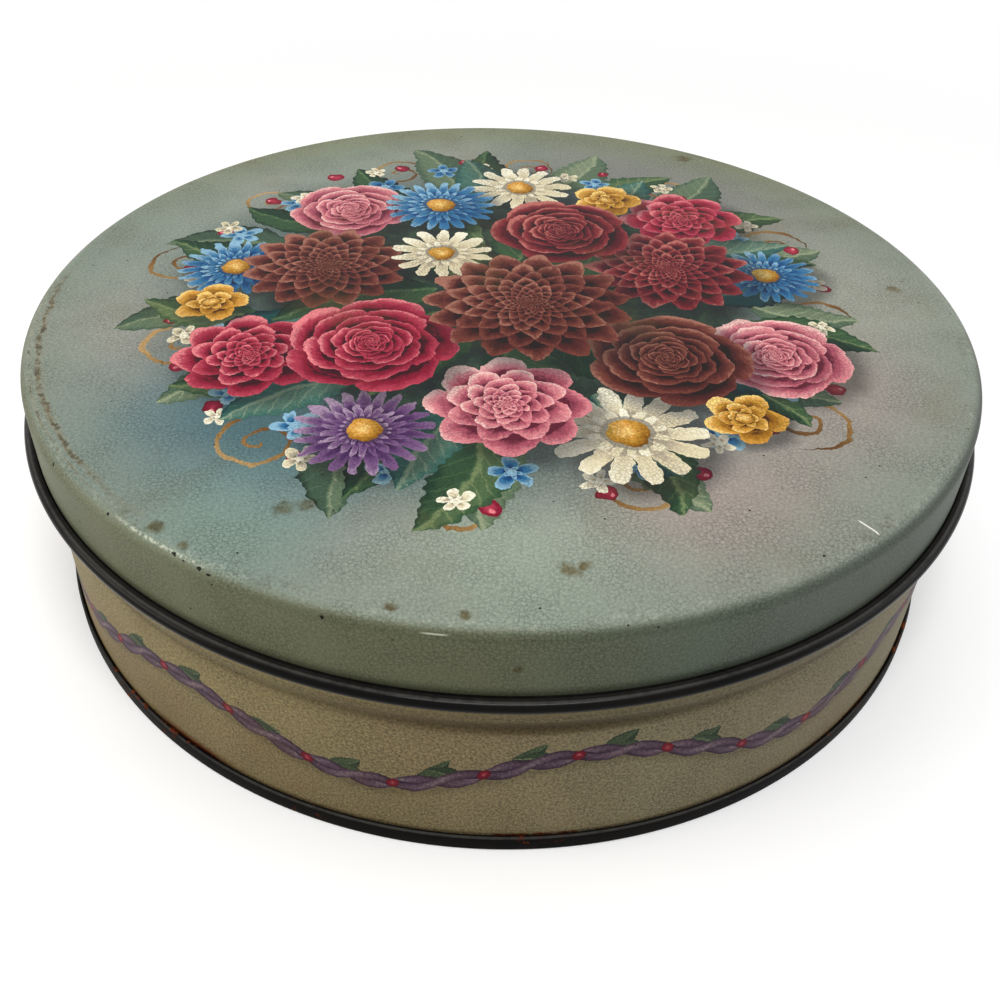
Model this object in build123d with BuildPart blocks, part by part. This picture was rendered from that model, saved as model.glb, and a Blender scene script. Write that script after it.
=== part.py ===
from build123d import *
from math import acos, atan, cos, degrees, pi, sin, sqrt
import os

# A round slip-lid tin of printed tinplate: a drawn lid, a rolled wall and a seamed-in base.
# Millimetres, +Z up, the origin on the tin's axis at the level of the table.

# The sheet and the overall sizes
sheet = 0.28
tin_height = 56.1
wall_radius = 98.9

# The lid: flat panel, rounded shoulder, straight skirt and a false-wire curl round its edge
lid_clearance = 0.82
lid_depth = 16.4
shoulder_radius = 3.1
lid_curl_radius = 1.2
lid_curl_turn = 305
lid_seat_gap = 0.3

# The wall's edges: an inward curl at the rim, and a stop bead just under the lid's edge
rim_curl_radius = 1.1
rim_curl_turn = 305
bead_drop = 3.4
bead_height = 0.85
bead_half_length = 3.5

# The side seam at the back: the sheet's two ends hooked together and pressed flat
side_seam_width = 5.0
side_seam_layers = 4
side_seam_end_gap = 1.2
side_groove_width = 0.4
side_groove_depth = 0.15

# The double seam round the foot: base and wall folded together, five layers of sheet thick
seam_height = 3.6
seam_corner_radius = 0.53
seam_gap = 0.03
hook_end_gap = 0.3

# The base panel, set up inside the foot, with its middle pressed a step higher
base_recess = 3.4
chuck_corner_radius = 0.6
land_width = 11.0
step_height = 0.8
step_bend_radius = 1.5

# The lid's places
lid_inner_radius = wall_radius + lid_clearance
lid_ceiling = tin_height - sheet
lid_edge = tin_height - lid_depth
lid_curl_level = lid_edge + lid_curl_radius
inner_shoulder_radius = shoulder_radius - sheet
shoulder_start = lid_inner_radius - inner_shoulder_radius

# The rim lies inside the lid's rounded shoulder, lid_seat_gap from it at the nearest point
rim_centre = wall_radius - rim_curl_radius
rim_reach = inner_shoulder_radius - lid_seat_gap - rim_curl_radius
rim_past_shoulder = max(rim_centre - shoulder_start, 0)
rim_level = lid_ceiling - inner_shoulder_radius + sqrt(rim_reach**2 - rim_past_shoulder**2)

# The bead is two equal arcs on each side of its crest, so its slope follows its height and length
bead_top = lid_edge - bead_drop + bead_half_length
bead_slope = 2 * atan(bead_height / bead_half_length)
bead_bend_radius = bead_half_length / (2 * sin(bead_slope))

side_seam_bottom = seam_height + side_seam_end_gap
side_seam_top = rim_level - rim_curl_radius - side_seam_end_gap

# The double seam's layers, from inside to outside: base, wall, base hook, wall hook, base
layer_pitch = sheet + seam_gap
hook_bend_radius = sheet / 2 + seam_gap
chuck_radius = wall_radius - sheet - layer_pitch
foot_radius = wall_radius + 3 * layer_pitch
wall_fold_level = 2 * sheet + seam_gap + hook_bend_radius
base_fold_level = seam_height - sheet - hook_bend_radius
step_slope = acos(1 - step_height / (2 * step_bend_radius))
step_width = 2 * step_bend_radius * sin(step_slope)
step_radius = chuck_radius - chuck_corner_radius - land_width - step_width


def sheet_outline(face, thickness=sheet):
    """Draws a strip of sheet in section: one face, the same face moved in by the thickness, and both ends."""
    outside_start, outside_end = face(0)
    inside_start, inside_end = face(thickness)
    Line(outside_start, inside_start)
    Line(outside_end, inside_end)


def lid_face(inset):
    """The lid's underside and skirt, from the middle of the panel to the end of the curl."""
    panel = Line((0, lid_ceiling + inset), (shoulder_start, lid_ceiling + inset))
    shoulder = JernArc(panel @ 1, panel % 1, inner_shoulder_radius + inset, -90)
    skirt = Line(shoulder @ 1, (lid_inner_radius + inset, lid_curl_level))
    curl = JernArc(skirt @ 1, skirt % 1, lid_curl_radius - inset, lid_curl_turn)
    return panel @ 0, curl @ 1


def upright_face(top, bottom, inset):
    """The wall's outer face from top down to bottom, out over the bead and back."""
    radius = wall_radius - inset
    above = Line((radius, top), (radius, bead_top))
    rise = JernArc(above @ 1, above % 1, bead_bend_radius + inset, degrees(bead_slope))
    crest = JernArc(rise @ 1, rise % 1, bead_bend_radius - inset, -2 * degrees(bead_slope))
    fall = JernArc(crest @ 1, crest % 1, bead_bend_radius + inset, degrees(bead_slope))
    below = Line(fall @ 1, (radius, bottom))
    return above @ 0, below @ 1


def wall_face(inset):
    """The wall's outer face from the end of the rim curl to the end of its hook in the double seam."""
    curl_radius = rim_curl_radius - inset
    curl = CenterArc((rim_centre, rim_level), curl_radius, rim_curl_turn, -rim_curl_turn)
    fold_start = upright_face(rim_level, wall_fold_level, inset)[1]
    fold = JernArc(fold_start, (0, -1), hook_bend_radius + inset, 180)
    hook = Line(fold @ 1, ((fold @ 1).X, base_fold_level - hook_end_gap))
    return curl @ 0, hook @ 1


def side_seam_face(inset):
    """The part of the wall's outer face that the side seam backs."""
    return upright_face(side_seam_top, side_seam_bottom, inset)


def base_face(inset):
    """The base's underside from the middle of the panel, round the foot, to the end of its hook."""
    middle_level = base_recess + step_height + inset
    middle = Line((0, middle_level), (step_radius, middle_level))
    step_down = JernArc(middle @ 1, middle % 1, step_bend_radius + inset, -degrees(step_slope))
    step_out = JernArc(step_down @ 1, step_down % 1, step_bend_radius - inset, degrees(step_slope))
    land = Line(step_out @ 1, (chuck_radius - chuck_corner_radius, base_recess + inset))
    chuck_corner = JernArc(land @ 1, land % 1, chuck_corner_radius + inset, -90)
    chuck_wall = Line(chuck_corner @ 1, (chuck_radius + inset, seam_corner_radius))
    inner_corner = JernArc(chuck_wall @ 1, chuck_wall % 1, seam_corner_radius - inset, 90)
    foot = Line(inner_corner @ 1, (foot_radius - seam_corner_radius, inset))
    outer_corner = JernArc(foot @ 1, foot % 1, seam_corner_radius - inset, 90)
    seaming_wall = Line(outer_corner @ 1, (foot_radius - inset, base_fold_level))
    fold = JernArc(seaming_wall @ 1, seaming_wall % 1, hook_bend_radius + sheet - inset, 180)
    hook = Line(fold @ 1, ((fold @ 1).X, wall_fold_level + hook_end_gap))
    return middle @ 0, hook @ 1


def back_plane(width):
    """The upright plane through the axis from which a turn of this width is centred on the back."""
    start = pi / 2 - width / wall_radius / 2
    return Plane((0, 0, 0), x_dir=(cos(start), sin(start), 0), z_dir=(sin(start), -cos(start), 0))


with BuildPart() as lid:
    with BuildSketch(Plane.XZ):
        with BuildLine():
            sheet_outline(lid_face)
        make_face()
    revolve(axis=Axis.Z)

with BuildPart() as body_wall:
    with BuildSketch(Plane.XZ):
        with BuildLine():
            sheet_outline(wall_face)
        make_face()
    revolve(axis=Axis.Z)
    with BuildSketch(back_plane(side_seam_width)):
        with BuildLine():
            sheet_outline(side_seam_face, side_seam_layers * sheet)
        make_face()
    revolve(axis=Axis.Z, revolution_arc=degrees(side_seam_width / wall_radius))
    with BuildSketch(back_plane(side_groove_width)):
        with BuildLine():
            sheet_outline(side_seam_face, side_groove_depth)
        make_face()
    revolve(axis=Axis.Z, revolution_arc=degrees(side_groove_width / wall_radius), mode=Mode.SUBTRACT)

with BuildPart() as base_panel:
    with BuildSketch(Plane.XZ):
        with BuildLine():
            sheet_outline(base_face)
        make_face()
    revolve(axis=Axis.Z)

os.makedirs("parts", exist_ok=True)
for piece, name in ((lid, "lid"), (body_wall, "body_wall"), (base_panel, "base_panel")):
    piece.part.label = name
    export_step(piece.part, f"parts/{name}.step")
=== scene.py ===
from math import acos, asin, atan, cos, pi, radians, sin, sqrt

import bmesh
import bpy
from mathutils import Matrix, Vector


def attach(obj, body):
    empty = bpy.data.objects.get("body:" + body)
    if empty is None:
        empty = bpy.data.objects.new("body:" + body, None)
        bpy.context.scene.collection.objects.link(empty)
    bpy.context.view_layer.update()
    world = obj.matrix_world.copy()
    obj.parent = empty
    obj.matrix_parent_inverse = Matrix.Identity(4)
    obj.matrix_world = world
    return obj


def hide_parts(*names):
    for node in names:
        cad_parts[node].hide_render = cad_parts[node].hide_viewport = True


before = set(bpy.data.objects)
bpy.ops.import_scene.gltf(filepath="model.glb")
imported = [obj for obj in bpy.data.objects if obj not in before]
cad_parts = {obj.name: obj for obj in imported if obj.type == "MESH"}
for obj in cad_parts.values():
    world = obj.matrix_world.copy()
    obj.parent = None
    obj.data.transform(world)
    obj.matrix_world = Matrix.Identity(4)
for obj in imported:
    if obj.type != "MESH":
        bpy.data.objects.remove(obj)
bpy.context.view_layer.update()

# A round slip-lid tin: a printed lid and wall, black curls and a rusting black foot, plain inside.
# The lid and wall are printed with flowers. Sizes here are in millimetres unless a name says metres.

METRE = 1000.0

# The sheet-metal sizes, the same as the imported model's
SHEET = 0.28
TIN_TOP = 56.1
WALL_RADIUS = 98.9
LID_INNER_RADIUS = 99.72
LID_CURL_RADIUS = 1.2
LID_CURL_LEVEL = 40.9
LID_SHOULDER = 2.82
BLACK_EDGE_LEVEL = 42.2
RIM_RADIUS = 1.1
RIM_CENTRE = (97.8, 54.098)
BEAD_CREST_LEVEL = 36.3
BEAD_HALF_LENGTH = 3.5
BEAD_HEIGHT = 0.85
SIDE_SEAM = (4.8, 51.8)
SIDE_SEAM_HALF_WIDTH = 2.5
GROOVE_HALF_WIDTH = 0.2
GROOVE_DEPTH = 0.15
SEAM_TOP = 3.6
WALL_FOLD_LEVEL = 0.76
HOOK_BEND = 0.17
WALL_HOOK_TOP = 2.85
BASE_RECESS = 3.4
STEP_HEIGHT = 0.8
STEP_BEND = 1.5
LAND_END = 97.71
LAND_WIDTH = 11.0
CHUCK_CORNER = 0.6
SEAM_CORNER = 0.53
FOOT_RADIUS = 99.83
BASE_FOLD_LEVEL = 3.15
BASE_HOOK_END = 1.06


# ---------------------------------------------------------------- wiring nodes

class Wire:
    """A value on a wire of a node tree, which takes ordinary arithmetic."""

    def __init__(self, socket):
        self.socket = socket
        self.tree = socket.id_data

    def __add__(self, other):
        return calc("ADD", self, other)

    def __sub__(self, other):
        return calc("SUBTRACT", self, other)

    def __rsub__(self, other):
        return calc("SUBTRACT", other, self)

    def __mul__(self, other):
        return calc("MULTIPLY", self, other)

    def __truediv__(self, other):
        return calc("DIVIDE", self, other)

    def __pow__(self, other):
        return calc("POWER", self, other)

    __radd__ = __add__
    __rmul__ = __mul__


def feed(socket, value):
    """Puts a wire or a plain value into a socket."""
    if isinstance(value, Wire):
        value.tree.links.new(value.socket, socket)
    else:
        socket.default_value = value


def place_node(tree, kind, inputs=None, **settings):
    """Adds a node with its settings and its inputs, the inputs by name or by number."""
    node = tree.nodes.new(kind)
    for name, value in settings.items():
        setattr(node, name, value)
    for key, value in (inputs or {}).items():
        if isinstance(key, str):
            feed(next(s for s in node.inputs if s.name == key and s.enabled), value)
        else:
            feed(node.inputs[key], value)
    return node


def out(node, name=None):
    """The node's output of that name, or its first one in use."""
    return Wire(next(s for s in node.outputs if s.enabled and name in (None, s.name)))


def tree_of(*values):
    return next(v.tree for v in values if isinstance(v, Wire))


def calc(operation, *values):
    inputs = dict(enumerate(values))
    return out(place_node(tree_of(*values), "ShaderNodeMath", inputs, operation=operation))


def floor(value):
    return calc("FLOOR", value)


def size_of(value):
    return calc("ABSOLUTE", value)


def wave(value):
    return calc("SINE", value)


def smaller(value, limit):
    return calc("LESS_THAN", value, limit)


def highest(*values):
    result = values[-1]
    for value in values[:-1]:
        result = calc("MAXIMUM", result, value)
    return result


def ramp(value, low, high, to_low=0.0, to_high=1.0, shape="SMOOTHSTEP"):
    """Goes from to_low to to_high as the value goes from low to high. Low may be the larger one."""
    if low > high:
        low, high, to_low, to_high = high, low, to_high, to_low
    inputs = {"Value": value, "From Min": low, "From Max": high, "To Min": to_low, "To Max": to_high}
    return out(place_node(value.tree, "ShaderNodeMapRange", inputs, interpolation_type=shape,
                          clamp=shape == "LINEAR"))


def between(value, low, high, soft):
    """1 from low to high, falling softly to 0 outside."""
    return ramp(value, low - soft, low + soft) * ramp(value, high + soft, high - soft)


def parts(vector):
    node = place_node(vector.tree, "ShaderNodeSeparateXYZ", {0: vector})
    return [Wire(s) for s in node.outputs]


def vector_of(x, y, z=0.0):
    return out(place_node(tree_of(x, y, z), "ShaderNodeCombineXYZ", {0: x, 1: y, 2: z}))


def vector_calc(operation, *values, result="Vector", scale=None):
    inputs = dict(enumerate(values))
    if scale is not None:
        inputs["Scale"] = scale
    return out(place_node(tree_of(*values), "ShaderNodeVectorMath", inputs, operation=operation), result)


def length(vector):
    return vector_calc("LENGTH", vector, result="Value")


def local(place, x, y, size):
    """The place as seen from (x, y), in units of size."""
    return vector_calc("MULTIPLY_ADD", place, (1 / size, 1 / size, 0), (-x / size, -y / size, 0))


def noise(place, grain, detail=2.0, roughness=0.5, result="Fac", sides=3):
    inputs = {"Vector": place, "Scale": 1 / grain, "Detail": detail, "Roughness": roughness}
    return out(place_node(place.tree, "ShaderNodeTexNoise", inputs, noise_dimensions=f"{sides}D"), result)


def cells(place, grain, feature="F1", result="Distance"):
    inputs = {"Vector": place, "Scale": 1 / grain}
    return out(place_node(place.tree, "ShaderNodeTexVoronoi", inputs, voronoi_dimensions="2D", feature=feature),
               result)


def fraction(value):
    return calc("FRACT", value)


def chance(number, seed):
    """A number from 0 to 1 that is settled by two others but looks random."""
    return fraction(wave(number * 12.99 + seed * 78.23 + 3.7) * 4375.85)


def reach_of(x, y):
    return calc("SQRT", x * x + y * y)


def colour_parts(colour):
    node = place_node(colour.tree, "ShaderNodeSeparateColor", {0: colour})
    return [Wire(s) for s in node.outputs]


def wander(place, grain, reach, detail=2.0, roughness=0.5):
    """A flat place moved a little both ways, so that painted edges and cracks aren't drawn with a compass."""
    red, green, _ = colour_parts(noise(place, grain, detail, roughness, "Color", sides=2))
    return vector_calc("ADD", place, vector_of((red - 0.5) * reach, (green - 0.5) * reach))


def ink(red, green, blue):
    """A colour as it shows on a screen, 0 to 255, turned into light."""
    def light(value):
        value /= 255
        return value / 12.92 if value <= 0.04045 else ((value + 0.055) / 1.055) ** 2.4
    return light(red), light(green), light(blue), 1.0


def mix(amount, first, second, mode="MIX"):
    """Lays the second colour over the first."""
    inputs = {0: amount, 6: first, 7: second}
    node = place_node(tree_of(amount, first, second), "ShaderNodeMix", inputs,
                      data_type="RGBA", blend_type=mode)
    return Wire(node.outputs[2])


def tint(value, *stops):
    """A colour from a scale of colours: each stop is a place from 0 to 1 and an ink."""
    node = place_node(value.tree, "ShaderNodeValToRGB", {0: value})
    marks = node.color_ramp.elements
    while len(marks) < len(stops):
        marks.new(0.5)
    for mark, (position, colour) in zip(marks, stops):
        mark.position = position
        mark.color = ink(*colour)
    return Wire(node.outputs[0])


def paint_scale(value, shade, low, middle, high):
    """A colour from a flower's or leaf's four paints, from its shadows at 0 to its lights at 1."""
    colour = mix(ramp(value, 0.0, 0.36), shade, low)
    colour = mix(ramp(value, 0.36, 0.68), colour, middle)
    return mix(ramp(value, 0.68, 1.0), colour, high)


LIST_ROOM = 32


def pick(number, choices):
    """Three values kept for a number, counted from 1. They are kept as steps of a colour scale, so from 0 to 1."""
    node = place_node(number.tree, "ShaderNodeValToRGB", {0: number * (1 / LIST_ROOM)})
    node.color_ramp.interpolation = "CONSTANT"
    marks = node.color_ramp.elements
    while len(marks) < len(choices):
        marks.new(0.999)
    for place, (mark, choice) in enumerate(zip(marks, choices)):
        mark.position = (place + 0.5) / LIST_ROOM
        mark.color = (*choice, 1.0)
    return Wire(node.outputs[0])


SOCKET_KINDS = {float: "NodeSocketFloat", tuple: "NodeSocketVector", list: "NodeSocketColor"}


def node_group(name, inputs, outputs):
    """Makes a shader node group out of the function below it, and gives back a way to place it."""
    def make(build):
        tree = bpy.data.node_groups.new(name, "ShaderNodeTree")
        for side, sockets in (("INPUT", inputs), ("OUTPUT", outputs)):
            for label, default in sockets.items():
                kind = SOCKET_KINDS[type(default)]
                tree.interface.new_socket(label, in_out=side, socket_type=kind).default_value = default
        start = tree.nodes.new("NodeGroupInput")
        end = tree.nodes.new("NodeGroupOutput")
        results = build(*[Wire(s) for s in start.outputs if s.name])
        for socket, value in zip(end.inputs, results):
            feed(socket, value)

        def use(*values):
            node = place_node(tree_of(*values), "ShaderNodeGroup", node_tree=tree)
            node.label = name
            for socket, value in zip(node.inputs, values):
                feed(socket, value)
            wires = [Wire(s) for s in node.outputs]
            return wires if len(wires) > 1 else wires[0]
        return use
    return make


NOWHERE = (0.0, 0.0, 0.0)


# ---------------------------------------------------------------- painted motifs

@node_group("petals",
            {"X": 0.0, "Y": 0.0, "Petals": 12.0, "Row ratio": 0.75, "Notch": 0.9, "Roundness": 1.5,
             "Turn": 0.0, "Twist": 0.0, "Seed": 0.0},
            {"Mask": 0.0, "Depth": 0.0, "Across": 0.0, "Chance": 0.0})
def petals(x, y, count, ratio, notch, roundness, turn, twist, seed):
    """Rows of petals round a heart. Each row is smaller by the ratio and lies over the one outside it."""
    row = calc("LOGARITHM", highest(reach_of(x, y), 0.04), ratio)
    around = calc("ARCTAN2", x, y) * (count * (0.5 / pi)) + turn + twist * row
    first = floor(row)
    past = row - first
    near = around + first * 0.5
    near_side = size_of(fraction(near) * 2.0 - 1.0)
    far_side = size_of(fraction(near + 0.5) * 2.0 - 1.0)
    near_cut = notch * near_side ** roundness
    far_cut = notch * far_side ** roundness
    on_near = calc("GREATER_THAN", past, near_cut)
    depth = past + 1.0 - far_cut + on_near * (far_cut - near_cut - 1.0)
    across = far_side + on_near * (near_side - far_side)
    index = first + on_near - 1.0
    petal = calc("FLOORED_MODULO", floor(near + 0.5 - on_near * 0.5), count)
    return calc("GREATER_THAN", index, -0.5), depth, across, chance(petal + index * 7.0, seed)


@node_group("ring_places",
            {"X": 0.0, "Y": 0.0, "Radius": 50.0, "Count": 12.0, "Phase": 0.0, "Stray": 3.0,
             "Tilt": 0.5, "Size": 20.0, "Seed": 0.0},
            {"Across": 0.0, "Outwards": 0.0, "Chance": 0.0})
def ring_places(x, y, radius, count, phase, stray, tilt, size, seed):
    """Places round a ring, each with its own stray, tilt and size."""
    cell = floor(calc("ARCTAN2", x, y) * (count * (0.5 / pi)) + phase)
    number = calc("FLOORED_MODULO", cell, count)
    first, second, third = chance(number, seed), chance(number, seed + 1.3), chance(number, seed + 2.9)
    angle = (cell + 0.5 - phase) / count * (2 * pi) + (first - 0.5) * stray / radius
    reach = radius + (second - 0.5) * stray
    facing = angle + (third - 0.5) * tilt
    dx = x - wave(angle) * reach
    dy = y - calc("COSINE", angle) * reach
    side, ahead = wave(facing), calc("COSINE", facing)
    scale = size * (0.85 + 0.3 * first)
    return (dx * ahead - dy * side) / scale, (dx * side + dy * ahead) / scale, third


@node_group("leaf", {"X": 0.0, "Y": 0.0, "Width": 0.2, "Bend": 0.1}, {"Mask": 0.0, "Tone": 0.0})
def leaf(x, y, width, bend):
    """A pointed leaf from y = 0 to y = 1 with a midrib, side veins and one side in the light."""
    along = y * (1.0 - y)
    off = x - bend * along * 4.0
    room = highest(along * 4.0, 0.0) ** 0.85
    half = width * room * (1.3 - 0.6 * y) + 0.012 * wave(y * 70.0) * room
    side = size_of(off)
    vein = size_of(fraction((y - side * 1.1) * 8.0) * 2.0 - 1.0)
    tone = (0.42 + ramp(off, 0.02, -0.02) * 0.28 + ramp(side, 0.03, 0.0) * 0.35
            + ramp(vein, 0.75, 1.0) * 0.16 - ramp(side / highest(half, 0.01), 0.6, 1.1) * 0.3)
    return smaller(side, half), tone


# Kinds of flower: petals, row ratio, notch, roundness, twist, heart radius, how fast rows darken
DAHLIA = (15, 0.795, 0.95, 1.5, 0.0, 0.0, 0.62)
ROSE = (5, 0.77, 0.62, 2.6, 0.22, 0.0, 0.78)
PEONY = (8, 0.74, 0.80, 2.2, 0.12, 0.0, 0.70)
ASTER = (21, 0.62, 1.0, 2.4, 0.0, 0.26, 0.50)
DAISY = (14, 0.50, 1.0, 3.0, 0.0, 0.27, 0.38)
BUTTERCUP = (5, 0.60, 0.75, 2.4, 0.10, 0.20, 0.62)

# Paints of a flower from its shadows to its lights
MAHOGANY = ((24, 6, 8), (78, 28, 27), (122, 60, 51), (186, 126, 108))
MAROON = ((30, 4, 12), (92, 18, 32), (142, 46, 54), (206, 126, 118))
CRIMSON = ((56, 4, 20), (150, 22, 54), (194, 62, 88), (236, 152, 160))
PINK = ((104, 30, 52), (190, 92, 112), (222, 148, 158), (246, 214, 210))
BLUE = ((8, 26, 66), (22, 82, 140), (62, 130, 180), (160, 202, 218))
CREAM = ((104, 94, 80), (190, 180, 156), (228, 220, 198), (246, 242, 226))
GOLD = ((78, 42, 6), (178, 118, 28), (218, 172, 70), (246, 222, 146))
VIOLET = ((32, 12, 50), (84, 48, 102), (130, 92, 142), (194, 166, 196))

# The posy, from the back of the pile to its front: x, y, radius, turn, kind, paints
POSY = (
    (-38, 40, 15, 0.1, ROSE, PINK),
    (44, 40, 15, 0.6, PEONY, CRIMSON),
    (60, 12, 12, 0.2, ASTER, BLUE),
    (-60, 8, 13, 0.4, ASTER, BLUE),
    (4, 56, 13, 0.3, DAISY, CREAM),
    (56, -22, 15, 0.0, ROSE, PINK),
    (-50, -28, 15, 0.7, PEONY, CRIMSON),
    (-16, 44, 14, 0.5, ASTER, BLUE),
    (26, 50, 9, 0.2, BUTTERCUP, GOLD),
    (24, -50, 15, 0.1, DAISY, CREAM),
    (-24, -52, 13, 0.9, ASTER, VIOLET),
    (38, 14, 19, 0.3, DAHLIA, MAROON),
    (-40, 10, 19, 0.0, DAHLIA, MAHOGANY),
    (14, 32, 17, 0.8, ROSE, MAROON),
    (-62, -8, 8, 0.4, BUTTERCUP, GOLD),
    (34, -24, 17, 0.2, ROSE, MAHOGANY),
    (2, -42, 16, 0.5, PEONY, PINK),
    (-26, -22, 18, 0.3, ROSE, CRIMSON),
    (46, -44, 8, 0.1, BUTTERCUP, GOLD),
    (-14, 18, 12, 0.6, DAISY, CREAM),
    (6, -4, 23, 0.2, DAHLIA, MAHOGANY),
)


BLACK = [0.0, 0.0, 0.0, 1.0]
PAINT_SOCKETS = {"Shade": BLACK, "Low": BLACK, "Middle": BLACK, "High": BLACK}


@node_group("flower_outline",
            {"On top": 0.0, "Shadow": 0.0, "Place": NOWHERE, "Number": 1.0, "Centre": NOWHERE, "Shrink": NOWHERE,
             "Turn": 0.0, "Petals": 12.0, "Row ratio": 0.75, "Notch": 0.9, "Roundness": 1.5, "Twist": 0.0},
            {"On top": 0.0, "Shadow": 0.0})
def flower_outline(on_top, shadow, place, number, centre, shrink, turn, count, ratio, notch, roundness, twist):
    """Lays one flower's outline on the pile: which flower is on top at this place, and the shadow on it."""
    spot = vector_calc("MULTIPLY", vector_calc("SUBTRACT", place, centre), shrink)
    side, up, _ = parts(spot)
    row = calc("LOGARITHM", highest(length(spot), 0.04), ratio)
    around = calc("ARCTAN2", side, up) * (count * (0.5 / pi)) + turn + twist * row
    gap = notch * (calc("PINGPONG", around + 0.5, 0.5) * 2.0) ** roundness
    inside = calc("GREATER_THAN", row, gap)
    cast = ramp(vector_calc("DISTANCE", spot, (0.16, -0.2, 0.0), result="Value"), 1.22, 0.80)
    return highest(on_top, inside * number), highest(shadow, cast) - inside


FLOWER_REACH = 100.0
FLOWER_ROOM = 32.0


def paint_flowers(picture, place, x, y, speckle):
    """Paints the flowers of the posy over the picture, each with the shadow of those in front of it."""
    on_top = shadow = 0.0
    for number, (centre_x, centre_y, size, turn, kind, _) in enumerate(POSY, 1):
        on_top, shadow = flower_outline(on_top, shadow, place, number, (centre_x, centre_y, 0.0),
                                        (1 / size, 1 / size, 0.0), turn, *kind[:5])
    places, sizes, petal_counts, falls = [], [], [], []
    for centre_x, centre_y, size, turn, kind, _ in POSY:
        count, ratio, notch, roundness, twist, heart, fall = kind
        places.append([0.5 + centre_x / (2 * FLOWER_REACH), 0.5 + centre_y / (2 * FLOWER_REACH), turn])
        sizes.append([size / FLOWER_ROOM, heart, roundness / 4])
        petal_counts.append([count / FLOWER_ROOM, ratio, notch])
        falls.append([fall, twist, 0.0])
    centre_x, centre_y, turn = colour_parts(pick(on_top, places))
    size, heart, roundness = colour_parts(pick(on_top, sizes))
    count, ratio, notch = colour_parts(pick(on_top, petal_counts))
    fall, twist, _ = colour_parts(pick(on_top, falls))
    paints = [pick(on_top, [ink(*row[5][tone])[:3] for row in POSY]) for tone in range(4)]
    size = size * FLOWER_ROOM
    side = (x - (centre_x - 0.5) * (2 * FLOWER_REACH)) / size
    up = (y - (centre_y - 0.5) * (2 * FLOWER_REACH)) / size
    away = reach_of(side, up)
    _, depth, across, luck = petals(side, up, calc("ROUND", count * FLOWER_ROOM), ratio, notch, roundness * 4.0,
                                    turn, twist, on_top)
    streak = noise(vector_of(across * 3.0, depth * 0.6 + luck * 9.0), 0.5, 1.0, sides=2)
    glow = (0.93 - fall * depth - 0.22 * across ** 3.0 + 0.14 * (up - side) + 0.24 * (luck - 0.5)
            + 0.16 * (speckle - 0.5) + 0.3 * (streak - 0.5))
    colour = paint_scale(glow, *paints)
    colour = mix(smaller(away, heart * 1.25) * 0.5, colour, paints[0])
    grain = 0.92 - 2.2 * away + 0.6 * (speckle - 0.35) + 0.7 * (up - side)
    colour = mix(smaller(away, heart), colour, tint(grain, *zip((0.0, 0.35, 0.7, 1.0), GOLD)))
    picture = mix(calc("GREATER_THAN", on_top, 0.5), picture, colour)
    return mix(shadow * 0.62, picture, ink(16, 16, 22))


def ring_of(name, motif, **own_sizes):
    """Makes the node group that paints one motif in a ring of places."""
    @node_group(name,
                {"Picture": BLACK, "X": 0.0, "Y": 0.0, "Radius": 50.0, "Count": 12.0, "Phase": 0.0, "Stray": 3.0,
                 "Tilt": 0.5, "Size": 20.0, "Seed": 0.0, **PAINT_SOCKETS, **own_sizes},
                {"Picture": BLACK})
    def build(picture, x, y, radius, count, phase, stray, tilt, size, seed, *rest):
        across, outwards, luck = ring_places(x, y, radius, count, phase, stray, tilt, size, seed)
        mask, tone = motif(across, outwards, *rest[4:])
        return [mix(mask, picture, paint_scale(tone + 0.3 * (luck - 0.5), *rest[:4]))]
    return build


def floret_motif(x, y):
    mask, depth, _, _ = petals(x, y, 5.0, 0.4, 1.0, 2.6, 0.0, 0.0, 0.0)
    return mask, 1.0 - 0.6 * depth + smaller(reach_of(x, y), 0.24) * 0.9


def berry_motif(x, y):
    away = reach_of(x, y)
    shine = reach_of(x + 0.3, y - 0.35)
    return smaller(away, 1.0), 0.75 - 0.5 * away + ramp(shine, 0.35, 0.1) * 0.7


def curl_motif(x, y):
    """A tendril that winds in to its end."""
    away = reach_of(x, y)
    coil = fraction(away * 1.7 - calc("ARCTAN2", x, y) * (0.5 / pi))
    line = smaller(size_of(coil - 0.5), 0.07 + 0.04 * away)
    return line * smaller(away, 1.0), 0.5 + (y - x) * 0.3


leaf_ring = ring_of("leaf_ring", leaf, Width=0.2, Bend=0.1)
floret_ring = ring_of("floret_ring", floret_motif)
berry_ring = ring_of("berry_ring", berry_motif)
curl_ring = ring_of("curl_ring", curl_motif)

LEAF_DARK = ((10, 24, 18), (30, 62, 44), (66, 100, 66), (128, 148, 102))
LEAF_GREY = ((34, 52, 44), (74, 100, 80), (112, 134, 106), (166, 178, 144))
LEAF_TEAL = ((12, 40, 46), (30, 82, 82), (76, 124, 112), (146, 172, 148))
TENDRIL = ((70, 42, 22), (122, 84, 44), (168, 128, 76), (206, 176, 122))


def inks(paints):
    return [ink(*paint) for paint in paints]


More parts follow.
